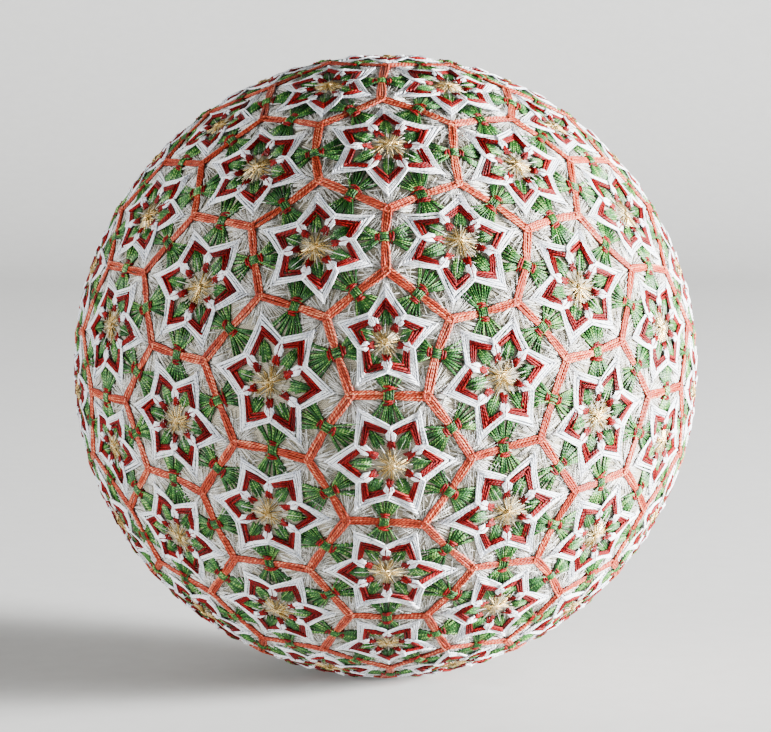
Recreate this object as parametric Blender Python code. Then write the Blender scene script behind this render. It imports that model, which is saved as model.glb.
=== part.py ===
"""A temari ball: a tightly wound thread ball, stitched all over with 92 stars between three-winged lines.

The ball is one solid. Its face is built star by star, with the stitching raised on it: the zigzag band
of each star, the crossings piled in its notches, the three-winged lines around it, and the tied sheaves
where two stars face each other. Lengths are in metres, +Z is up, and the origin is the middle of the
flat spot.
"""

from itertools import combinations
from math import acos, pi, sin, sqrt

import bmesh
import bpy
from mathutils import Matrix, Vector

# Driving sizes. The diameter is measured over the stitching.
BALL_DIAMETER = 0.100
STITCH_RELIEF = 0.0009
FLAT_SPOT_RADIUS = 0.007
STARS_PER_EDGE = 3

# The raised stitching of one star, from its middle outwards. Each row is a ring that runs in a zigzag
# between the star's point lines, which end where three stars meet, and its notch lines, which end half
# way along the coral line to the next star. The shares are of those lines' lengths, and the heights are
# above the wound thread.
RING_COLUMNS = ("point_share", "notch_share", "point_height", "notch_height", "thread")
RING_ROWS = (
    (0.52, 0.20, 0.00025, 0.00045, "green_needles"),
    (0.68, 0.45, 0.00065, STITCH_RELIEF, "red_star"),
    (0.80, 0.60, 0.00025, 0.00030, "white_star"),
    (0.90, 0.88, 0.00015, 0.00045, "wound_thread"),
    (1.00, 1.00, 0.00060, 0.00080, "coral_wings"),
)
NEEDLE_HEIGHT = 0.00045

# Colour, roughness and metallic value of each thread.
THREADS = {
    "green_needles": ((0.10, 0.27, 0.09), 0.55, 0.2),
    "red_star": ((0.45, 0.03, 0.03), 0.60, 0.0),
    "white_star": ((0.80, 0.82, 0.84), 0.50, 0.0),
    "wound_thread": ((0.62, 0.60, 0.53), 0.70, 0.0),
    "coral_wings": ((0.72, 0.20, 0.13), 0.60, 0.0),
}

# Worked out from the driving sizes.
WOUND_RADIUS = BALL_DIAMETER / 2 - STITCH_RELIEF
CENTRE_HEIGHT = sqrt((BALL_DIAMETER / 2) ** 2 - FLAT_SPOT_RADIUS**2)

# Angles of an icosahedron, between neighbouring corners and from a corner to the middle of a face.
CORNER_ANGLE = acos(1 / sqrt(5))
FACE_ANGLE = acos(sqrt((5 + 2 * sqrt(5)) / 15))

WELD_DISTANCE = 0.00001
SHARP_ANGLE = pi / 3


def clear_scene():
    for old in list(bpy.data.objects):
        bpy.data.objects.remove(old, do_unlink=True)


def make_thread_material(name):
    colour, roughness, metallic = THREADS[name]
    material = bpy.data.materials.new(name)
    material.use_nodes = True
    shader = material.node_tree.nodes["Principled BSDF"]
    shader.inputs["Base Color"].default_value = (*colour, 1.0)
    shader.inputs["Roughness"].default_value = roughness
    shader.inputs["Metallic"].default_value = metallic
    return material


def icosahedron_faces():
    """The corners of each face, counter-clockwise from outside, with the middle of a face straight up."""
    guide = bmesh.new()
    bmesh.ops.create_icosphere(guide, subdivisions=1, radius=1.0)
    upright = Matrix.Rotation(pi - FACE_ANGLE, 3, "X") @ Matrix.Rotation(-pi / 2, 3, "Z")
    bmesh.ops.rotate(guide, verts=guide.verts, cent=(0, 0, 0), matrix=upright)
    faces = [[corner.co.normalized() for corner in face.verts] for face in guide.faces]
    guide.free()
    return faces


def star_middle(corners, steps):
    """The middle of a star, given how many steps it lies from the edge that faces each corner."""
    shares = (step / STARS_PER_EDGE for step in steps)
    pulls = (sin(share * CORNER_ANGLE) * corner for share, corner in zip(shares, corners))
    return sum(pulls, Vector()).normalized()


def star_number(stars, middle):
    """The number of the star at this place, which is added to the list if no face had it before."""
    for number, star in enumerate(stars):
        if (star - middle).length < WELD_DISTANCE:
            return number
    stars.append(middle)
    return len(stars) - 1


def lay_out_stars():
    """The middles of the stars, and the threes that meet at a point, counter-clockwise from outside."""
    n = STARS_PER_EDGE
    stars = []
    threes = []
    for corners in icosahedron_faces():
        rows = {}
        for across in range(n + 1):
            for down in range(n + 1 - across):
                middle = star_middle(corners, (n - across - down, across, down))
                rows[across, down] = star_number(stars, middle)
        for across, down in rows:
            if across + down < n:
                threes.append((rows[across, down], rows[across + 1, down], rows[across, down + 1]))
            if across + down < n - 1:
                threes.append(
                    (rows[across + 1, down], rows[across + 1, down + 1], rows[across, down + 1])
                )
    return stars, threes


def coral_middles(threes, meetings):
    """The middle of the coral line between each two neighbours, half way between the points it joins."""
    ends = {}
    for three, meeting in zip(threes, meetings):
        for pair in combinations(three, 2):
            ends.setdefault(frozenset(pair), []).append(meeting)
    return {pair: sum(points, Vector()).normalized() for pair, points in ends.items()}


def ring_points(star, line_end, kind):
    """The points where the rings cross one line of a star, from its middle outwards."""
    arc = star.angle(line_end)
    axis = star.cross(line_end)
    points = [star * (WOUND_RADIUS + NEEDLE_HEIGHT)]
    for row in RING_ROWS:
        ring = dict(zip(RING_COLUMNS, row))
        turn = Matrix.Rotation(arc * ring[kind + "_share"], 3, axis)
        points.append((turn @ star) * (WOUND_RADIUS + ring[kind + "_height"]))
    return points


def add_sector(ball, first, second):
    """The faces between two neighbouring lines of a star, given counter-clockwise."""
    first = [ball.verts.new(point) for point in first]
    second = [ball.verts.new(point) for point in second]
    face = ball.faces.new((first[0], first[1], second[1]))
    face.material_index = 0
    for ring in range(1, len(RING_ROWS)):
        near, far = ring, ring + 1
        for corners in (
            (first[near], first[far], second[near]),
            (first[far], second[far], second[near]),
        ):
            face = ball.faces.new(corners)
            face.material_index = ring


def press_flat(ball):
    """The level spot that the ball rests on. The stitching there is pressed together, hollows and all."""
    for vertex in ball.verts:
        in_spot = vertex.co.z < 0 and vertex.co.xy.length < FLAT_SPOT_RADIUS
        if in_spot or vertex.co.z < -CENTRE_HEIGHT:
            vertex.co.z = -CENTRE_HEIGHT


def make_ball(collection):
    stars, threes = lay_out_stars()
    meetings = [sum((stars[number] for number in three), Vector()).normalized() for three in threes]
    middles = coral_middles(threes, meetings)
    ball = bmesh.new()
    for three, meeting in zip(threes, meetings):
        for turn in range(3):
            star, left, right = three[turn:] + three[:turn]
            point_line = ring_points(stars[star], meeting, "point")
            left_line = ring_points(stars[star], middles[frozenset((star, left))], "notch")
            right_line = ring_points(stars[star], middles[frozenset((star, right))], "notch")
            add_sector(ball, left_line, point_line)
            add_sector(ball, point_line, right_line)
    bmesh.ops.remove_doubles(ball, verts=ball.verts, dist=WELD_DISTANCE)
    press_flat(ball)
    mesh = bpy.data.meshes.new("temari_ball")
    ball.to_mesh(mesh)
    ball.free()
    for row in RING_ROWS:
        mesh.materials.append(make_thread_material(dict(zip(RING_COLUMNS, row))["thread"]))
    mesh.shade_smooth()
    mesh.set_sharp_from_angle(angle=SHARP_ANGLE)
    part = bpy.data.objects.new("temari_ball", mesh)
    part.location.z = CENTRE_HEIGHT
    collection.objects.link(part)


clear_scene()
temari = bpy.data.collections.new("temari")
bpy.context.scene.collection.children.link(temari)
make_ball(temari)
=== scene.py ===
"""The looks of a temari ball: its wound thread, and its 92 stitched stars thread by thread."""

from itertools import combinations
from math import acos, cos, pi, radians, sin, sqrt

import bpy
import numpy as np
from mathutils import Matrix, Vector


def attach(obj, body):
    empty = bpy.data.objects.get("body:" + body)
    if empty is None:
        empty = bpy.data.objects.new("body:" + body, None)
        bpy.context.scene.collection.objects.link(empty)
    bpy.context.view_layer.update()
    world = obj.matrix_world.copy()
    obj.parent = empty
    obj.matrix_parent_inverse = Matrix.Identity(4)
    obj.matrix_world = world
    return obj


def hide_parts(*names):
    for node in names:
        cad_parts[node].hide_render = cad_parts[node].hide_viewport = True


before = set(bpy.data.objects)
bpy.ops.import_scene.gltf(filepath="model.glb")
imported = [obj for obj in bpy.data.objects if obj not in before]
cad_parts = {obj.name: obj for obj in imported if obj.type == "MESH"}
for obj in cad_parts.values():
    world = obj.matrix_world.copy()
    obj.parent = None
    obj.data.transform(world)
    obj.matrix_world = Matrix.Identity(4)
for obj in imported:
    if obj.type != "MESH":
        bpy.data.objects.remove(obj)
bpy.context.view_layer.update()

MM = 0.001
random = np.random.default_rng(92)


# The wound ball
# A light filling under yarn, then fine cream cotton thread wound on in every direction until nothing else
# shows. It is firm and round, it has settled on a small flat spot, and all that follows is sewn into it.
BALL_RADIUS = 50.0 * MM
STITCH_RELIEF = 0.9 * MM
WOUND_RADIUS = BALL_RADIUS - STITCH_RELIEF
FLAT_SPOT_RADIUS = 7.0 * MM
CENTRE_HEIGHT = sqrt(BALL_RADIUS**2 - FLAT_SPOT_RADIUS**2)
WINDING_BUNDLES = 60
BUNDLE_WIDTH = 3.0 * MM
BUNDLE_HEIGHT = 0.03 * MM
FULL_CROSSING = 6
SRGB_KNEE = 0.04045


def unit(vectors):
    return vectors / np.linalg.norm(vectors, axis=-1, keepdims=True)


def on_ball(directions, heights):
    """Points at a height over the wound thread. Where the ball rests, each layer is pressed up as far."""
    points = directions * (WOUND_RADIUS + heights)[..., None]
    lowest = STITCH_RELIEF - heights - CENTRE_HEIGHT
    points[..., 2] = np.maximum(points[..., 2], lowest) + CENTRE_HEIGHT
    return points


def linear(colour):
    """An sRGB hex colour as the linear colour that a shader takes."""
    parts = [int(colour[start:start + 2], 16) / 255 for start in (1, 3, 5)]
    return [part / 12.92 if part <= SRGB_KNEE else ((part + 0.055) / 1.055) ** 2.4 for part in parts] + [1]


def add_node(tree, kind, inputs=None, **settings):
    """Adds a node with its settings. An input that is given a socket is linked, and any other is set."""
    node = tree.nodes.new(kind)
    for name, value in settings.items():
        setattr(node, name, value)
    for name, value in (inputs or {}).items():
        if isinstance(value, bpy.types.NodeSocket):
            tree.links.new(value, node.inputs[name])
        else:
            node.inputs[name].default_value = value
    return node


def new_material(name):
    """A new material, its node tree and the shader in it."""
    material = bpy.data.materials.new(name)
    material.use_nodes = True
    return material, material.node_tree, material.node_tree.nodes["Principled BSDF"]


bpy.ops.object.select_all(action="DESELECT")
bpy.ops.mesh.primitive_ico_sphere_add(subdivisions=6, radius=WOUND_RADIUS)
wound_ball = bpy.context.object
wound_ball.name = "wound_ball"
directions = np.array([vertex.co for vertex in wound_ball.data.vertices]) / WOUND_RADIUS

# Bundles of turns cross all over it. It is highest where six or more cross, and never over the needles.
bundle_poles = unit(random.normal(size=(WINDING_BUNDLES, 3)))
from_bundle = directions @ bundle_poles.T * WOUND_RADIUS / BUNDLE_WIDTH
crossing_bundles = np.exp(-from_bundle**2).sum(axis=1)
swell = BUNDLE_HEIGHT * (np.minimum(crossing_bundles, FULL_CROSSING) - FULL_CROSSING)
wound_ball.data.vertices.foreach_set("co", on_ball(unit(directions), swell).ravel())
bpy.ops.object.shade_smooth()

# Fine cotton sewing thread: spun cotton, wound tight. It is matt, and its many short runs cross at all
# angles, with soft shade between them. Patches under 2 mm across each show one of four ways of winding.
WOUND_THREAD_PITCH = 0.21 * MM
WINDING_TURNS = ((20, 35, 0), (75, -40, 60), (-50, 10, 100), (15, 80, 30))
PATCHES_PER_METRE = 600.0
cotton_winding, tree, shader = new_material("wound_cotton_thread")
place = add_node(tree, "ShaderNodeTexCoord").outputs["Object"]
strands = None
for turn in WINDING_TURNS:
    turned = add_node(
        tree, "ShaderNodeMapping", {"Vector": place, "Rotation": [radians(angle) for angle in turn]}
    )
    wave = add_node(
        tree,
        "ShaderNodeTexWave",
        {
            "Vector": turned.outputs["Vector"],
            "Scale": 0.1 * pi / WOUND_THREAD_PITCH,
            "Distortion": 5.0,
            "Detail": 2.0,
            "Detail Scale": 0.4,
        },
    )
    if strands is None:
        strands = wave.outputs["Fac"]
        continue
    shift = add_node(
        tree, "ShaderNodeMapping", {"Vector": place, "Location": [angle * MM for angle in turn]}
    )
    where = add_node(
        tree, "ShaderNodeTexNoise", {"Vector": shift.outputs["Vector"], "Scale": PATCHES_PER_METRE}
    )
    edge = add_node(
        tree,
        "ShaderNodeMapRange",
        {"Value": where.outputs["Fac"], "From Min": 0.49, "From Max": 0.52},
    )
    mix = add_node(
        tree,
        "ShaderNodeMix",
        {"Factor": edge.outputs["Result"], "A": strands, "B": wave.outputs["Fac"]},
    )
    strands = mix.outputs["Result"]
ramp = add_node(tree, "ShaderNodeValToRGB", {"Fac": strands})
ramp.color_ramp.elements[0].color = linear("#474233")
ramp.color_ramp.elements[1].color = linear("#ACA48E")
ramp.color_ramp.elements[1].position = 0.7
bump = add_node(tree, "ShaderNodeBump", {"Height": strands, "Distance": 0.06 * MM, "Strength": 0.6})
tree.links.new(ramp.outputs["Color"], shader.inputs["Base Color"])
tree.links.new(bump.outputs["Normal"], shader.inputs["Normal"])
shader.inputs["Roughness"].default_value = 0.75
shader.inputs["Sheen Weight"].default_value = 0.25
wound_ball.data.materials.append(cotton_winding)
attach(wound_ball, "root")
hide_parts("temari_ball")


# Loose windings
# The last turns of the same cream thread, which lie proud of the rest where they cross it. Each goes round
# more than half of the ball, and both ends are drawn under.
LOOSE_WINDINGS = 80
LOOSE_RINGS = 36
LOOSE_HEIGHT = 0.06 * MM
SUNK = -0.2 * MM
WOUND_THREAD_RADIUS = 0.09 * MM
END_TAPER = 0.55
LENGTH_SHIFT_MM = 10


def plain_thread(sides, rings):
    """The mesh of a straight thread, a unit thick on each side, with its rings a unit apart."""
    bpy.ops.object.select_all(action="DESELECT")
    bpy.ops.mesh.primitive_circle_add(vertices=sides, radius=1, fill_type="NGON")
    bpy.ops.object.mode_set(mode="EDIT")
    for _ in range(rings - 1):
        bpy.ops.mesh.extrude_region_move(TRANSFORM_OT_translate={"value": (0, 0, 1)})
    bpy.ops.mesh.select_all(action="SELECT")
    bpy.ops.mesh.normals_make_consistent(inside=False)
    bpy.ops.object.mode_set(mode="OBJECT")
    thread = bpy.context.object
    mesh = thread.data
    bpy.data.objects.remove(thread)
    return mesh


def lay_threads(name, routes, sides, radius):
    """Copies one plain thread along every route, as one mesh. Routes are points, ring by ring.

    The UV map holds the length along each thread in millimetres, and the share of the way around it. The
    attribute shade holds one random value for each thread. A thread thins at its ends, unless it has two
    rings only.
    """
    count, rings = routes.shape[:2]
    plain = plain_thread(sides, rings)
    corners = np.array([vertex.co for vertex in plain.vertices])
    ring = np.rint(corners[:, 2]).astype(int)
    around = np.arctan2(corners[:, 1], corners[:, 0]) / (2 * pi) % 1
    faces = [list(face.vertices) for face in plain.polygons]
    bpy.data.meshes.remove(plain)

    ahead = unit(np.gradient(routes, axis=1))
    side = unit(np.cross(routes - (0, 0, CENTRE_HEIGHT), ahead))
    up = np.cross(ahead, side)
    taper = np.ones(rings)
    if rings > 2:
        taper[[0, -1]] = END_TAPER
    reach = np.broadcast_to(radius, (count,))[:, None, None] * taper[ring][None, :, None]
    offset = side[:, ring] * corners[None, :, :1] + up[:, ring] * corners[None, :, 1:2]
    points = routes[:, ring] + offset * reach

    corner_of_loop = np.concatenate(faces)
    face_sizes = np.array([len(face) for face in faces])
    first_loop = np.cumsum(face_sizes) - face_sizes
    loop_around = around[corner_of_loop]
    for start, size in zip(first_loop, face_sizes):
        turn = loop_around[start:start + size]
        if turn.max() - turn.min() > 0.5:
            turn[turn < 0.5] += 1
    steps = np.linalg.norm(np.diff(routes, axis=1), axis=2)
    length = np.concatenate([np.zeros((count, 1)), np.cumsum(steps, axis=1)], axis=1) / MM
    length += random.uniform(0, LENGTH_SHIFT_MM, size=(count, 1))
    loop_length = length[:, ring[corner_of_loop]]

    mesh = bpy.data.meshes.new(name)
    mesh.vertices.add(points.shape[0] * points.shape[1])
    mesh.vertices.foreach_set("co", points.ravel())
    mesh.loops.add(count * len(corner_of_loop))
    thread_first = np.arange(count)[:, None]
    mesh.loops.foreach_set("vertex_index", (corner_of_loop + thread_first * len(corners)).ravel())
    mesh.polygons.add(count * len(faces))
    mesh.polygons.foreach_set("loop_start", (first_loop + thread_first * len(corner_of_loop)).ravel())
    mesh.update(calc_edges=True)
    mesh.shade_smooth()
    uv = np.stack([loop_length, np.broadcast_to(loop_around, loop_length.shape)], axis=-1)
    mesh.uv_layers.new(name="thread").uv.foreach_set("vector", uv.ravel())
    shade = np.repeat(random.uniform(size=count), len(corners))
    mesh.attributes.new("shade", "FLOAT", "POINT").data.foreach_set("value", shade)
    piece = bpy.data.objects.new(name, mesh)
    bpy.context.scene.collection.objects.link(piece)
    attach(piece, "root")
    return piece


poles = unit(random.normal(size=(LOOSE_WINDINGS, 3)))
starts = unit(np.cross(poles, random.normal(size=(LOOSE_WINDINGS, 3))))
quarter = np.cross(poles, starts)
turns = random.uniform(0.55, 0.95, LOOSE_WINDINGS)[:, None] * np.linspace(0, 2 * pi, LOOSE_RINGS)
circles = np.cos(turns)[..., None] * starts[:, None] + np.sin(turns)[..., None] * quarter[:, None]
heights = np.full((LOOSE_WINDINGS, LOOSE_RINGS), LOOSE_HEIGHT)
heights[:, [0, -1]] = SUNK
loose_windings = lay_threads(
    "loose_windings", on_ball(circles, heights), 3, WOUND_THREAD_RADIUS
)
loose_windings.data.materials.append(cotton_winding)


# White needles
# Where three stars meet, fine white cotton fans out of the meeting point into each of the three, as short
# straight stitches side by side. They lie lowest of all the stitching.
PLACE_ERROR = 0.42 * MM
NEEDLES_PER_FAN = 40
FAN_SPREAD = 58
NEEDLE_RADIUS = 0.085 * MM
CORNER_ANGLE = acos(1 / sqrt(5))
UPPER_CORNERS = acos(sqrt((5 + 2 * sqrt(5)) / 15))
LOWER_CORNERS = acos(sqrt((5 - 2 * sqrt(5)) / 15))
STARS_PER_EDGE = 3


def corner_ring(from_top, first_turn):
    """Three corners of an icosahedron at one angle from the top."""
    turns = np.radians(first_turn + np.array([0, 120, 240]))
    ring = [np.cos(turns) * sin(from_top), np.sin(turns) * sin(from_top), np.full(3, cos(from_top))]
    return np.stack(ring, axis=1)


def lay_out_stars():
    """The stars' middles, and each three that meet at a point, counter-clockwise from outside."""
    upper = np.concatenate([corner_ring(UPPER_CORNERS, 90), corner_ring(LOWER_CORNERS, -90)])
    corners = np.concatenate([upper, -upper])
    near = corners @ corners.T > 0.9 * cos(CORNER_ANGLE)
    n = STARS_PER_EDGE
    numbers = {}
    middles = []
    threes = []
    for face in combinations(range(12), 3):
        if not all(near[pair] for pair in combinations(face, 2)):
            continue
        first, second, third = face
        if np.cross(corners[first], corners[second]) @ corners[third] < 0:
            face = first, third, second
        rows = {}
        for across in range(n + 1):
            for down in range(n + 1 - across):
                steps = zip(face, (n - across - down, across, down))
                steps = {corner: step for corner, step in steps if step}
                key = frozenset(steps.items())
                if key not in numbers:
                    numbers[key] = len(middles)
                    pulls = [
                        sin(step / n * CORNER_ANGLE) * corners[corner] for corner, step in steps.items()
                    ]
                    middles.append(unit(sum(pulls)))
                rows[across, down] = numbers[key]
        for across, down in rows:
            if across + down < n:
                threes.append((rows[across, down], rows[across + 1, down], rows[across, down + 1]))
            if across + down < n - 1:
                threes.append(
                    (rows[across + 1, down], rows[across + 1, down + 1], rows[across, down + 1])
                )
    return np.array(middles), threes


def astray(directions, error):
    """The same directions, each a little off, as a hand leaves them."""
    return unit(directions + random.normal(scale=error / WOUND_RADIUS, size=directions.shape))


def heading(start, end):
    """The way from start to end along the ball's face, and the way to its left."""
    ahead = unit(end - (start * end).sum(axis=-1, keepdims=True) * start)
    return ahead, np.cross(start, ahead)


def step(start, ways, distances):
    """Directions at some distances from start, in metres along the face, each in its own way."""
    total = start
    for way, distance in zip(ways, distances):
        total = total + way * (np.asarray(distance) / WOUND_RADIUS)[..., None]
    return unit(total)


def part_way(start, end, share):
    """Directions this share of the way from start to end along the ball's face."""
    angle = np.arccos(np.clip((start * end).sum(axis=-1), -1, 1))
    share = np.broadcast_to(share, angle.shape)
    mixed = np.sin((1 - share) * angle)[..., None] * start + np.sin(share * angle)[..., None] * end
    return unit(mixed)


stars, threes = lay_out_stars()
meetings = unit(np.array([stars[list(three)].sum(axis=0) for three in threes]))
around_star = [{} for _ in stars]
for meeting, three in enumerate(threes):
    for turn in range(3):
        star, right, left = three[turn:] + three[:turn]
        around_star[star][right] = left, meeting

# One row for each point of each star: the star, its meeting point, the next one counter-clockwise, and the
# number of the coral line between those two.
line_numbers = {}
star_points = []
for star, neighbours in enumerate(around_star):
    neighbour = min(neighbours)
    ring_of_meetings = []
    for _ in neighbours:
        neighbour, meeting = neighbours[neighbour]
        ring_of_meetings.append(meeting)
    for meeting, following in zip(ring_of_meetings, ring_of_meetings[1:] + ring_of_meetings[:1]):
        line = line_numbers.setdefault(frozenset((meeting, following)), len(line_numbers))
        star_points.append((star, meeting, following, line))
point_star, point_meeting, point_following, point_line = np.array(star_points).T

stars = astray(stars, PLACE_ERROR)
meetings = astray(meetings, PLACE_ERROR)
line_ends = np.array([sorted(pair) for pair in line_numbers])
line_middles = astray(unit(meetings[line_ends].sum(axis=1)), 0.6 * PLACE_ERROR)

fan_at = meetings[point_meeting][:, None]
ahead, left = heading(fan_at, stars[point_star][:, None])
fan_shape = (len(point_star), NEEDLES_PER_FAN)
even_lean = np.linspace(-FAN_SPREAD, FAN_SPREAD, NEEDLES_PER_FAN)
lean = np.radians(even_lean + random.normal(scale=7, size=fan_shape))
inner = random.uniform(0.4, 1.6, fan_shape) * MM
outer = inner + random.uniform(1.6, 3.6, fan_shape) * (1 + 0.45 * lean**2) * MM
way = np.cos(lean)[..., None] * ahead + np.sin(lean)[..., None] * left
stops = [step(fan_at, [way], [distance]) for distance in (inner, outer)]
inner_height = random.uniform(0.05, 0.24, fan_shape)
outer_height = random.uniform(0.02, 0.14, fan_shape)
heights = np.stack([inner_height, outer_height], axis=2) * MM
fan_routes = on_ball(np.stack(stops, axis=2), heights).reshape(-1, 2, 3)
white_needles = lay_threads("white_needles", fan_routes, 3, NEEDLE_RADIUS)

# Others cross them at every angle, on both sides of the star's point.
CROSSING_NEEDLES = 15
cross_shape = (len(point_star), CROSSING_NEEDLES)
lean = np.radians(random.uniform(10, FAN_SPREAD, cross_shape)) * random.choice([-1, 1], cross_shape)
way = np.cos(lean)[..., None] * ahead + np.sin(lean)[..., None] * left
middle = step(fan_at, [way], [random.uniform(1.0, 5.0, cross_shape) * MM])
turned = random.uniform(0, pi, cross_shape)
way, side = heading(middle, stars[point_star][:, None])
way = np.cos(turned)[..., None] * way + np.sin(turned)[..., None] * side
half = random.uniform(0.6, 1.4, cross_shape) * MM
stops = [step(middle, [way], [end * half]) for end in (-1, 1)]
heights = random.uniform(0.0, 0.26, cross_shape + (2,)) * MM
crossing_routes = on_ball(np.stack(stops, axis=2), heights).reshape(-1, 2, 3)
crossing_needles = lay_threads("crossing_needles", crossing_routes, 3, NEEDLE_RADIUS)


# Real fibres are a few hundredths of a millimetre thick, which is too fine to show. Their noise is drawn as
# coarse as it needs to show, 0.7 mm across.
FIBRES_PER_METRE = 1400.0
PLY_SHARE = 0.55
# This share weighs the painted light that makes each thread's top lighter and its underside darker.
PAINTED_TOP_LIGHT_SHARE = 0.30
SHADE_SHARE = 0.40
DARKEST_TONE = 0.75
LIGHTEST_TONE = 1.65
PLAIN_STOP = 0.45
# This stop is where the painted highlight on the ridges sits, and the painted glints lie above it.
PAINTED_RIDGE_HIGHLIGHT_STOP = 0.92
PLY_DEPTH = 0.10 * MM


def make_cotton(name, colours, twist_mm, roughness, sheen=0.0, gloss=0.5, metallic=0.0):
    """Twisted two-ply thread. Its plies show as slanted ridges with shade between them.

    The colours are of the painted shade between plies and under the thread, of the plain thread, of the
    painted highlights on its ridges and of the few painted glints. The tone that picks between them adds up
    fibres, plies, a painted light that is lightest on the top of the thread and darkest underneath, and the
    thread's own random shade.
    """
    material, tree, shader = new_material(name)
    uv = add_node(tree, "ShaderNodeUVMap", uv_map="thread")
    parts = add_node(tree, "ShaderNodeSeparateXYZ", {"Vector": uv.outputs["UV"]}).outputs
    around = add_node(tree, "ShaderNodeMath", {0: parts["Y"], 1: 2 * pi}, operation="MULTIPLY")
    twist = add_node(
        tree,
        "ShaderNodeMath",
        {0: parts["X"], 1: 2 * pi / twist_mm, 2: around.outputs["Value"]},
        operation="MULTIPLY_ADD",
    )
    wave = add_node(tree, "ShaderNodeMath", {0: twist.outputs["Value"]}, operation="SINE")
    ply = add_node(tree, "ShaderNodeMath", {0: wave.outputs["Value"]}, operation="ABSOLUTE").outputs[0]
    shade = add_node(tree, "ShaderNodeAttribute", attribute_name="shade").outputs["Fac"]
    place = add_node(tree, "ShaderNodeTexCoord").outputs["Object"]
    fibre = add_node(
        tree, "ShaderNodeTexNoise", {"Vector": place, "Scale": FIBRES_PER_METRE, "Detail": 3.0}
    )
    level = add_node(
        tree, "ShaderNodeMath", {0: ply, 1: PLY_SHARE, 2: fibre.outputs["Fac"]}, operation="MULTIPLY_ADD"
    )
    # Painted light: each thread's top is painted lighter and its underside darker.
    painted_top_light = add_node(tree, "ShaderNodeMath", {0: around.outputs["Value"]}, operation="SINE").outputs[0]
    painted_light_tone = add_node(
        tree,
        "ShaderNodeMath",
        {0: painted_top_light, 1: PAINTED_TOP_LIGHT_SHARE, 2: level.outputs["Value"]},
        operation="MULTIPLY_ADD",
    )
    tone = add_node(
        tree,
        "ShaderNodeMath",
        {0: shade, 1: SHADE_SHARE, 2: painted_light_tone.outputs["Value"]},
        operation="MULTIPLY_ADD",
    )
    spread = add_node(
        tree,
        "ShaderNodeMapRange",
        {"Value": tone.outputs["Value"], "From Min": DARKEST_TONE, "From Max": LIGHTEST_TONE},
    )
    ramp = add_node(tree, "ShaderNodeValToRGB", {"Fac": spread.outputs["Result"]})
    # Painted light in the ramp: painted shade below the plain colour, painted ridge highlights and painted
    # glints above it.
    painted_shade_colour, plain_colour, painted_ridge_highlight_colour, painted_glint_colour = colours
    ramp.color_ramp.elements[0].color = linear(painted_shade_colour)
    ramp.color_ramp.elements[1].color = linear(painted_glint_colour)
    ramp.color_ramp.elements.new(PLAIN_STOP).color = linear(plain_colour)
    ramp.color_ramp.elements.new(PAINTED_RIDGE_HIGHLIGHT_STOP).color = linear(painted_ridge_highlight_colour)
    bump = add_node(
        tree,
        "ShaderNodeBump",
        {"Height": level.outputs["Value"], "Distance": PLY_DEPTH, "Strength": 0.9},
    )
    tree.links.new(ramp.outputs["Color"], shader.inputs["Base Color"])
    tree.links.new(bump.outputs["Normal"], shader.inputs["Normal"])
    shader.inputs["Roughness"].default_value = roughness
    shader.inputs["Sheen Weight"].default_value = sheen
    shader.inputs["Specular IOR Level"].default_value = gloss
    shader.inputs["Metallic"].default_value = metallic
    return material


# White embroidery cotton: bleached, mercerised and twisted from two plies, so it is bright with a soft
# sheen. Its painted shade is faintly blue, and its painted ridge highlights and glints are pure white.
white_cotton = make_cotton(
    "white_mercerised_cotton",
    ("#8C94A8", "#DDE3EC", "#FFFFFF", "#FFFFFF"),
    twist_mm=1.2,
    roughness=0.45,
    sheen=0.2,
)

# The needles are of a finer thread of the same cotton. Its painted shade is deep grey, and each needle's
# random shade value paints some darker than others, as painted shade, so they look uneven, from grey to
# bright white.
fine_cotton = make_cotton(
    "fine_white_cotton",
    ("#423F36", "#C4C0B2", "#FFFFFF", "#FFFFFF"),
    twist_mm=0.8,
    roughness=0.5,
    sheen=0.2,
)
white_needles.data.materials.append(fine_cotton)
crossing_needles.data.materials.append(fine_cotton)


# Window needles
# In each window of a star, between two of its notches, green needles lie side by side under the point of
# the red rows. They fill a lens, with a few pale ones between them.
WINDOW_NEEDLES = 10
WINDOW_RADIUS = 0.19 * MM
PALE_NEEDLES = 3
PALE_RADIUS = 0.075 * MM
LENS_NEAR_WIDTH = 0.85
LENS_FAR_WIDTH = 0.55
LENS_ROUNDING = 0.05


def lens_in_windows(count, half_width, near, far, height):
    """Needles along the way from each star to its points. Near and far are shares of that way.

    Those at the sides of a lens are shorter than those in its middle.
    """
    shape = (len(point_star), count)
    middle = stars[point_star][:, None]
    tip = meetings[point_meeting][:, None]
    ahead, left = heading(middle, tip)
    size = np.arccos((middle * tip).sum(axis=-1)) * WOUND_RADIUS
    order = np.linspace(-1, 1, count) + random.normal(scale=0.06, size=shape)
    short = LENS_ROUNDING * size * order**2
    starts = size * random.uniform(*near, shape) + short
    ends = size * random.uniform(*far, shape) - short
    stops = [
        step(middle, [ahead, left], [starts, LENS_NEAR_WIDTH * half_width * order]),
        step(middle, [ahead, left], [ends, LENS_FAR_WIDTH * half_width * order]),
    ]
    heights = random.uniform(0.6, 1.0, shape)[..., None] * np.array([0.6, 1.0]) * height
    return on_ball(np.stack(stops, axis=2), heights).reshape(-1, 2, 3)


window_needles = lay_threads(
    "window_needles",
    lens_in_windows(WINDOW_NEEDLES, 1.05 * MM, (0.21, 0.28), (0.44, 0.54), 0.20 * MM),
    3,
    WINDOW_RADIUS,
)
pale_needles = lay_threads(
    "pale_window_needles",
    lens_in_windows(PALE_NEEDLES, 1.5 * MM, (0.12, 0.22), (0.24, 0.44), 0.34 * MM),
    3,
    PALE_RADIUS,
)

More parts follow.
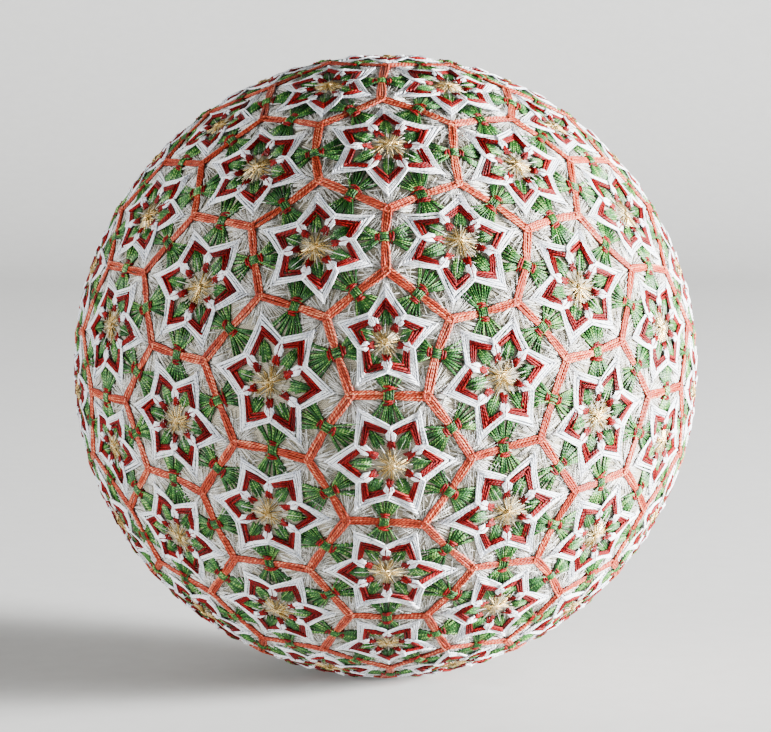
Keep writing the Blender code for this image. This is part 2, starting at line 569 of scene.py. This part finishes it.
# Green thread: dyed viscose spun with a fine bright filament, so it is deep green. Its yellow glints and
# ridge highlights are painted, with painted shade between its plies.
green_thread = make_cotton(
    "green_glint_viscose",
    ("#0A2410", "#123F1A", "#3C7A2E", "#92B860"),
    twist_mm=0.9,
    roughness=0.45,
    gloss=0.3,
)
window_needles.data.materials.append(green_thread)
pale_needles.data.materials.append(fine_cotton)


# Coral wings
# At each meeting point, coral thread is stitched as three wings, which run to the middles of the three
# lines around it. Each round passes the meeting point on its far side, so the wings cross there.
WING_ROUNDS = 2
WING_RADIUS = 0.20 * MM
CORE_RADIUS = 0.18 * MM

wing_ends = [[] for _ in meetings]
for line, ends in enumerate(line_ends):
    for end in ends:
        wing_ends[end].append(line)
wing_from = []
wing_to = []
for meeting, lines in enumerate(wing_ends):
    spread = line_middles[lines]
    first, second, third = lines
    if np.cross(spread[0], spread[1]) @ spread[2] < 0:
        second, third = third, second
    wing_from += [(meeting, line) for line in (first, second, third)]
    wing_to += [(meeting, line) for line in (second, third, first)]
wing_meeting, first_line = np.array(wing_from).T
second_line = np.array(wing_to)[:, 1]
centre = meetings[wing_meeting]
start = line_middles[first_line]
end = line_middles[second_line]
out, out_left = heading(start, centre)
back, back_left = heading(end, centre)
near_first, near_left = heading(centre, start)
near_second, second_left = heading(centre, end)
opposite = unit(-near_first - near_second)
past_end, before_end, by_centre = (np.full(len(centre), reach * MM) for reach in (-0.45, 0.1, 1.0))
wing_routes = []
for lap in range(WING_ROUNDS):
    apart = 0.08 + 0.30 * lap
    first_wobble, centre_wobble, second_wobble = random.normal(scale=0.04, size=(3, len(centre)))
    beside_centre = (apart + 0.10 + centre_wobble) * MM
    first_aside = (apart * 1.1 + 0.1 + centre_wobble) * MM
    second_aside = (apart * 1.1 + 0.1 + second_wobble) * MM
    stops = [
        step(start, [out, out_left], [past_end, (apart * 0.6 + first_wobble) * MM]),
        step(start, [out, out_left], [before_end, (apart * 0.7 + first_wobble) * MM]),
        step(part_way(start, centre, 0.5), [near_left], [-first_aside]),
        step(centre, [near_first, near_left], [by_centre, -beside_centre]),
        step(centre, [opposite], [(0.2 + 0.3 * lap + centre_wobble) * MM]),
        step(centre, [near_second, second_left], [by_centre, beside_centre]),
        step(part_way(end, centre, 0.5), [second_left], [second_aside]),
        step(end, [back, back_left], [before_end, -(apart * 0.7 + second_wobble) * MM]),
        step(end, [back, back_left], [past_end, -(apart * 0.6 + second_wobble) * MM]),
    ]
    heights = np.array([0.0, 0.25, 0.25, 0.32, 0.45 + 0.1 * lap, 0.45, 0.28, 0.25, 0.0]) * MM
    heights = np.broadcast_to(heights, (len(centre), len(stops)))
    wing_routes.append(on_ball(np.stack(stops, axis=1), heights))
coral_wings = lay_threads("coral_wings", np.concatenate(wing_routes), 5, WING_RADIUS)

# A red thread lies under each wing, from the meeting point to the line's middle.
stops = [part_way(centre, start, share) for share in (0.0, 0.5, 1.02)]
heights = np.broadcast_to(np.array([0.15, 0.04, 0.0]) * MM, (len(centre), len(stops)))
wing_cores = lay_threads(
    "wing_cores", on_ball(np.stack(stops, axis=1), heights), 4, CORE_RADIUS
)

# Coral embroidery cotton: two plies, mercerised, so it shines softly on its ridges: a little real gloss,
# with painted highlights and a few painted glints on the ridges, and painted shade between them.
coral_cotton = make_cotton(
    "coral_mercerised_cotton",
    ("#500F05", "#86230F", "#B44C30", "#E28E6C"),
    twist_mm=1.2,
    roughness=0.45,
    gloss=0.2,
)
coral_wings.data.materials.append(coral_cotton)


# Green sheaves
# Green needles cross each coral line at its middle. They are drawn together where they pass over it, and
# fan out on both sides as far as the notches of the two stars.
SHEAF_NEEDLES = 15
SHEAF_SPREAD = 37
WAIST = 1.02 * MM
WAIST_HALF_LENGTH = 0.80 * MM
SHEAF_RADIUS = 0.215 * MM

line_stars = [[] for _ in line_ends]
for star, line in zip(point_star, point_line):
    line_stars[line].append(star)
line_stars = np.array(line_stars)
middle = line_middles[:, None]
along, _ = heading(middle, meetings[line_ends[:, 1]][:, None])
across = np.cross(middle, along)
sides = []
for star in line_stars.T:
    facing = np.sign((across * stars[star][:, None]).sum(axis=-1))
    size = np.arccos((middle * stars[star][:, None]).sum(axis=-1)) * WOUND_RADIUS
    sides.append((facing, size))
shape = (len(line_ends), SHEAF_NEEDLES)
sheaf_routes = []
for facing, size in sides:
    order = np.linspace(-1, 1, SHEAF_NEEDLES) + random.normal(scale=0.05, size=shape)
    lean = np.radians(order * SHEAF_SPREAD + random.normal(scale=3, size=shape))
    reach = size * random.uniform(0.27, 0.37, shape)
    stops = []
    for share in (-0.12, 1):
        outwards = facing * (WAIST + share * reach * np.cos(lean))
        sideways = order * WAIST_HALF_LENGTH + share * reach * np.sin(lean)
        stops.append(step(middle, [across, along], [outwards, sideways]))
    near_height = random.uniform(0.22, 0.34, shape)
    far_height = random.uniform(0.0, 0.08, shape)
    heights = np.stack([near_height, far_height], axis=2) * MM
    sheaf_routes.append(on_ball(np.stack(stops, axis=2), heights).reshape(-1, 2, 3))
green_sheaves = lay_threads(
    "green_sheaves", np.concatenate(sheaf_routes), 3, SHEAF_RADIUS
)
green_sheaves.data.materials.append(green_thread)

# The knot over the coral line is the drawn-together middle of those needles.
KNOT_THREADS = 6
shape = (len(line_ends), KNOT_THREADS)
order = np.linspace(-1, 1, KNOT_THREADS) + random.normal(scale=0.08, size=shape)
stops = []
for outwards, sideways in ((-1.25, 0.60), (-0.5, 0.62), (0, 0.54), (0.5, 0.62), (1.25, 0.60)):
    stops.append(
        step(middle, [across, along], [outwards * MM + np.zeros(shape), sideways * order * MM])
    )
heights = np.array([0.0, 0.48, 0.60, 0.48, 0.0]) * MM - 0.10 * MM * (order**2)[..., None]
knot_routes = on_ball(np.stack(stops, axis=2), heights).reshape(-1, len(stops), 3)
green_knots = lay_threads("green_knots", knot_routes, 3, SHEAF_RADIUS)
green_knots.data.materials.append(green_thread)


# Red bindings
# On each side of the coral line, two red stitches of uneven length hold the sheaf down. They bow around it.
BINDING_STITCHES = 2
BINDING_RADIUS = 0.20 * MM
shape = (len(line_ends), BINDING_STITCHES)
binding_routes = []
for facing, _ in sides:
    half = random.uniform(0.90, 1.30, (len(line_ends), 1)) + random.normal(scale=0.12, size=shape)
    half *= MM
    row = np.linspace(-0.20, 0.20, BINDING_STITCHES) * MM
    slant = random.normal(scale=0.16, size=shape) * half
    stops = []
    for share, bow in ((-1, -0.20), (-0.5, 0.0), (0, 0.06), (0.5, 0.0), (1, -0.20)):
        outwards = facing * (WAIST + row + bow * MM) + share * slant
        stops.append(step(middle, [across, along], [outwards, half * share]))
    heights = np.broadcast_to(np.array([-0.05, 0.38, 0.52, 0.38, -0.05]) * MM, shape + (len(stops),))
    binding_routes.append(on_ball(np.stack(stops, axis=2), heights).reshape(-1, len(stops), 3))
red_bindings = lay_threads(
    "red_bindings", np.concatenate(binding_routes), 5, BINDING_RADIUS
)

# Red embroidery cotton: two plies, mercerised and dyed deep, so it shines little. The dark between its
# ridges is painted shade, and its ridges and glints carry only faint painted highlights.
red_cotton = make_cotton(
    "red_mercerised_cotton",
    ("#260203", "#560305", "#780608", "#94100F"),
    twist_mm=1.2,
    roughness=0.50,
    gloss=0.12,
)
red_bindings.data.materials.append(red_cotton)
wing_cores.data.materials.append(red_cotton)


# Star rows
# Each star is worked round and round: every leg runs from a point to a notch, where it crosses the leg
# that comes from the other side and dips in over the last round. Three red rounds lie inside four white.
OUTER_POINT_SHARE = 0.80
OUTER_NOTCH_SHARE = 0.565
SHARE_ERROR = 0.008
TAIL_SHARE_ERROR = 0.015
SIDE_ERROR = 0.045 * MM
TAIL_ERROR = 0.04 * MM
PAST_POINT = 0.38 * MM
BESIDE_NOTCH = 0.10 * MM
TUCKED_SHARE = 0.03
RED_INSETS = (1.76 * MM, 1.45 * MM, 1.14 * MM)
RED_RADIUS = 0.20 * MM
WHITE_INSETS = (0.89 * MM, 0.59 * MM, 0.30 * MM, 0.0)
NOTCH_SQUEEZE = 0.7
LAYER = 0.045 * MM
ROW_RADIUS = 0.142 * MM

line_before = np.zeros_like(point_line)
for number, (star, meeting) in enumerate(zip(point_star, point_meeting)):
    line_before[number] = point_line[(point_star == star) & (point_following == meeting)][0]


def star_legs(insets, first_layer, tail_end, bulge, splay, closing, end_height, kept):
    """The routes of every leg of every star in these rounds, from beyond the point to past the notch.

    An inset is how far the round lies inside the outermost one, and each round is laid over the last. At
    the notch the rounds are drawn closer. Bulge and splay are how far the first round's tails lie from
    the notch line, half way along and at their ends, and closing is how much less each next round's do.
    End height is how high the tails end, and kept are the stops that the legs need.
    """
    count = len(point_star)
    middle = stars[point_star]
    tip = meetings[point_meeting]
    to_tip = OUTER_POINT_SHARE * np.arccos((middle * tip).sum(axis=1)) * WOUND_RADIUS
    turn = pi / np.bincount(point_star)[point_star]
    routes = []
    for layer, inset in enumerate(insets, first_layer):
        point_error = random.normal(scale=SHARE_ERROR, size=count)
        for hand, line in ((1, point_line), (-1, line_before)):
            notch = line_middles[line]
            to_notch = OUTER_NOTCH_SHARE * np.arccos((middle * notch).sum(axis=1)) * WOUND_RADIUS
            leg = np.sqrt(to_tip**2 + to_notch**2 - 2 * to_tip * to_notch * np.cos(turn))
            inset_share = inset * leg / (to_tip * to_notch * np.sin(turn))
            point = part_way(middle, tip, OUTER_POINT_SHARE * (1 - inset_share) + point_error)
            notch_share = OUTER_NOTCH_SHARE * (1 - NOTCH_SQUEEZE * inset_share)
            notch_share += random.normal(scale=SHARE_ERROR, size=count)
            crossing = part_way(middle, notch, notch_share)
            tail_share = tail_end + random.normal(scale=TAIL_SHARE_ERROR, size=count)
            tail = part_way(middle, notch, tail_share)
            way, side = heading(point, crossing)
            _, left = heading(crossing, notch)
            wobble = random.normal(scale=SIDE_ERROR, size=(3, count))
            narrowing = 1 - closing * (layer - first_layer)
            tail_middle = hand * (bulge * narrowing + random.normal(scale=TAIL_ERROR, size=count))
            tail_tip = hand * (splay * narrowing + random.normal(scale=TAIL_ERROR, size=count))
            stops = [
                step(point, [way], [np.full(count, -PAST_POINT)]),
                step(point, [side], [wobble[0]]),
                step(part_way(point, crossing, 0.5), [side], [wobble[1]]),
                step(crossing, [left], [hand * BESIDE_NOTCH + wobble[2]]),
                step(part_way(crossing, tail, 0.5), [left], [tail_middle]),
                step(tail, [left], [tail_tip]),
                step(part_way(middle, notch, tail_share - TUCKED_SHARE), [left], [0.9 * tail_tip]),
            ]

            # Heights in millimetres. At a point and at a notch, one leg passes over the other.
            lift = layer * LAYER / MM
            tip_lift = 0.08 if hand == 1 else 0.30
            over = 0.15 if hand == 1 else 0.0
            heights = [-0.1, 0.17 + tip_lift, 0.17, 0.2 + lift + over, 0.25 + lift, end_height, -0.1]
            heights = np.broadcast_to(np.array(heights) * MM, (count, len(heights)))
            routes.append(on_ball(np.stack(stops, axis=1), heights)[:, kept])
    return np.concatenate(routes)


red_routes = star_legs(
    RED_INSETS,
    first_layer=1,
    tail_end=0.235,
    bulge=0.30 * MM,
    splay=0.54 * MM,
    closing=0.40,
    end_height=0.16,
    kept=[0, 1, 3, 4, 5],
)
red_rows = lay_threads("red_star_rows", red_routes, 4, RED_RADIUS)
red_rows.data.materials.append(red_cotton)
white_routes = star_legs(
    WHITE_INSETS,
    first_layer=len(RED_INSETS) + 1,
    tail_end=0.375,
    bulge=0.68 * MM,
    splay=0.50 * MM,
    closing=0.26,
    end_height=0.46,
    kept=[0, 1, 2, 3, 4, 5, 6],
)
half_way = len(white_routes) // 2
inner_white_rows = lay_threads(
    "inner_white_star_rows", white_routes[:half_way], 4, ROW_RADIUS
)
inner_white_rows.data.materials.append(white_cotton)
outer_white_rows = lay_threads(
    "outer_white_star_rows", white_routes[half_way:], 4, ROW_RADIUS
)
outer_white_rows.data.materials.append(white_cotton)


# Gold needles
# Metallic gold thread spreads from the middle of each star in straight stitches of uneven length. Finer and
# paler stitches lie between them.
GOLD_NEEDLES = 40
GOLD_RADIUS = 0.090 * MM
PALE_RAYS = 32
PALE_RAY_RADIUS = 0.062 * MM
ahead, left = heading(stars[:, None], unit(stars[:, None] + (0.3, 0.2, 0.1)))
cell_size = np.zeros(len(stars))
point_size = np.arccos((stars[point_star] * meetings[point_meeting]).sum(axis=1)) * WOUND_RADIUS
np.maximum.at(cell_size, point_star, point_size)


def rays(count, reach, height):
    """Needles from near the middle of each star outwards. The reach is a share of the way to its points.

    The height is that of their inner ends, in millimetres. They start a little past the middle.
    """
    shape = (len(stars), count)
    turn = random.uniform(0, 2 * pi, shape)
    way = np.cos(turn)[..., None] * ahead + np.sin(turn)[..., None] * left
    aside = np.cross(stars[:, None], way)
    drift = random.normal(scale=0.22 * MM, size=shape)
    ray = cell_size[:, None] * random.uniform(*reach, shape)
    stops = [
        step(stars[:, None], [way, aside], [end * ray, (1 - 0.5 * end) * drift]) for end in (-0.2, 1)
    ]
    heights = np.array([height, 0.12]) * MM * random.uniform(0.6, 1, shape)[..., None]
    return on_ball(np.stack(stops, axis=2), heights).reshape(-1, 2, 3)


gold_needles = lay_threads(
    "gold_needles", rays(GOLD_NEEDLES, (0.08, 0.25), 0.56), 3, GOLD_RADIUS
)
pale_rays = lay_threads(
    "pale_rays", rays(PALE_RAYS, (0.10, 0.30), 0.40), 3, PALE_RAY_RADIUS
)

# Gold thread: a flat metallised film wrapped round a cotton core, so it glints turn by turn: partly real
# metallic reflection, partly painted highlights on its ridges, with painted shade between them.
gold_thread = make_cotton(
    "gold_film_thread",
    ("#2A1A03", "#A87A24", "#FFE090", "#FFF8D8"),
    twist_mm=0.6,
    roughness=0.30,
    metallic=0.6,
)
gold_needles.data.materials.append(gold_thread)

# The pale ones are of a cream thread spun with the same film. Their soft glints are painted highlights
# over a little real metallic shine, with painted shade between their plies.
pale_gold_thread = make_cotton(
    "pale_gold_thread",
    ("#3A2E14", "#B8A468", "#F0E6C0", "#FFFBEA"),
    twist_mm=0.6,
    roughness=0.40,
    metallic=0.2,
)
pale_rays.data.materials.append(pale_gold_thread)


# The studio
# A pale paper sweep, one strong soft light from the right, a weaker one from the left, and two faint ones
# from the front and from behind.
SWEEP_WIDTH = 4.0
SWEEP_FRONT = -2.0
SWEEP_BACK = 1.2
SWEEP_RISE = 1.6
SWEEP_ROUNDING = 0.5
bpy.ops.object.select_all(action="DESELECT")
bpy.ops.mesh.primitive_plane_add(size=SWEEP_WIDTH, location=(0, 0, 0))
sweep = bpy.context.object
sweep.name = "paper_sweep"
for vertex in sweep.data.vertices:
    vertex.select = vertex.co.y > 0
    vertex.co.y = SWEEP_BACK if vertex.select else SWEEP_FRONT
for edge in sweep.data.edges:
    edge.select = all(sweep.data.vertices[number].select for number in edge.vertices)
for face in sweep.data.polygons:
    face.select = False
bpy.ops.object.mode_set(mode="EDIT")
bpy.ops.mesh.extrude_region_move(TRANSFORM_OT_translate={"value": (0, 0, SWEEP_RISE)})
bpy.ops.object.mode_set(mode="OBJECT")
rounding = sweep.modifiers.new("rounding", "BEVEL")
rounding.width = SWEEP_ROUNDING
rounding.segments = 12
rounding.limit_method = "ANGLE"
bpy.ops.object.modifier_apply(modifier="rounding")
bpy.ops.object.shade_smooth()

# Matt uncoated paper: pressed from wood pulp, so it is even but for faint clouds some millimetres across.
PAPER_CLOUD = 4.4 * MM
paper, tree, shader = new_material("white_paper")
place = add_node(tree, "ShaderNodeTexCoord").outputs["Object"]
grain = add_node(tree, "ShaderNodeTexNoise", {"Vector": place, "Scale": 1 / PAPER_CLOUD, "Detail": 3.0})
ramp = add_node(tree, "ShaderNodeValToRGB", {"Fac": grain.outputs["Fac"]})
ramp.color_ramp.elements[0].color = linear("#BCBCBA")
ramp.color_ramp.elements[1].color = linear("#C6C6C4")
tree.links.new(ramp.outputs["Color"], shader.inputs["Base Color"])
shader.inputs["Roughness"].default_value = 0.9
sweep.data.materials.append(paper)

target = Vector((0, 0, CENTRE_HEIGHT))


def aim(thing, place):
    """Puts a light or camera at a place and turns it to the ball's middle."""
    thing.location = place
    thing.rotation_euler = (target - Vector(place)).to_track_quat("-Z", "Y").to_euler()


# Each light's name, place and size in metres, and its power in watts.
for name, place, size, watts in (
    ("right_light", (1.0, -0.15, 0.18), 0.30, 145.0),
    ("left_light", (-1.0, -0.34, 0.14), 0.35, 19.0),
    ("front_light", (-0.2, -1.1, 0.10), 0.40, 1.6),
    ("back_light", (0.0, 1.1, 0.9), 1.2, 0.5),
):
    bpy.ops.object.light_add(type="AREA")
    light = bpy.context.object
    light.name = name
    light.data.size = size
    light.data.energy = watts
    aim(light, place)

ROOM_LIGHT = 0.15
world = bpy.data.worlds.new("studio")
world.use_nodes = True
world.node_tree.nodes["Background"].inputs["Color"].default_value = (1, 1, 1, 1)
world.node_tree.nodes["Background"].inputs["Strength"].default_value = ROOM_LIGHT
bpy.context.scene.world = world

# The camera looks at the ball's middle from a little above it, from far enough to see nearly half of it.
CAMERA_DISTANCE = 10.5 * BALL_RADIUS
CAMERA_RISE = radians(6.6)
CAMERA_TURN = radians(-0.5)
CAMERA_LENS = 153.0
SENSOR_WIDTH = 36.0
bpy.ops.object.camera_add()
camera = bpy.context.object
camera.data.lens = CAMERA_LENS
camera.data.sensor_width = SENSOR_WIDTH
way = Vector(
    (
        sin(CAMERA_TURN) * cos(CAMERA_RISE),
        -cos(CAMERA_TURN) * cos(CAMERA_RISE),
        sin(CAMERA_RISE),
    )
)
aim(camera, target + way * CAMERA_DISTANCE)
bpy.context.scene.camera = camera
